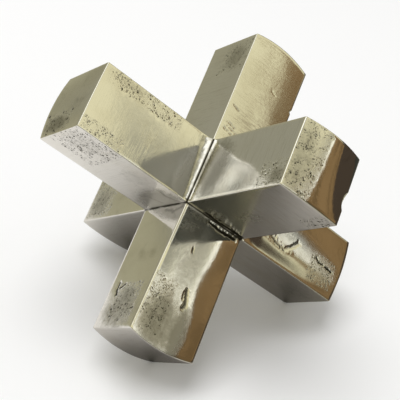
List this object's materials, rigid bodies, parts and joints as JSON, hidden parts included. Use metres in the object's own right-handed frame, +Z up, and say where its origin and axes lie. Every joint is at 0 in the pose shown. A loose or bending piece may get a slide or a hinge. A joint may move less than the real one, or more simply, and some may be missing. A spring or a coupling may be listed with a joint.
{
  "type": "abstract metal sculpture",
  "caption": "Solid cast jack of crossing square bars with barrel-shaped ends, a decorative piece that stands on corner tips.",
  "frame": {"origin": "centre of the footprint of the bounding box, on the ground that the tips stand on", "axes": "+Z up as it stands; +Y horizontally towards the back arm, so the front foot points to -Y; +X towards the right arm"},
  "size_m": [0.1798, 0.203, 0.1679],
  "materials": {
    "polished_aluminium": "brushed and polished sand-cast metal with pits and scratches"
  },
  "bodies": {
    "root": {"jack": "polished_aluminium"}
  },
  "joints": []
}
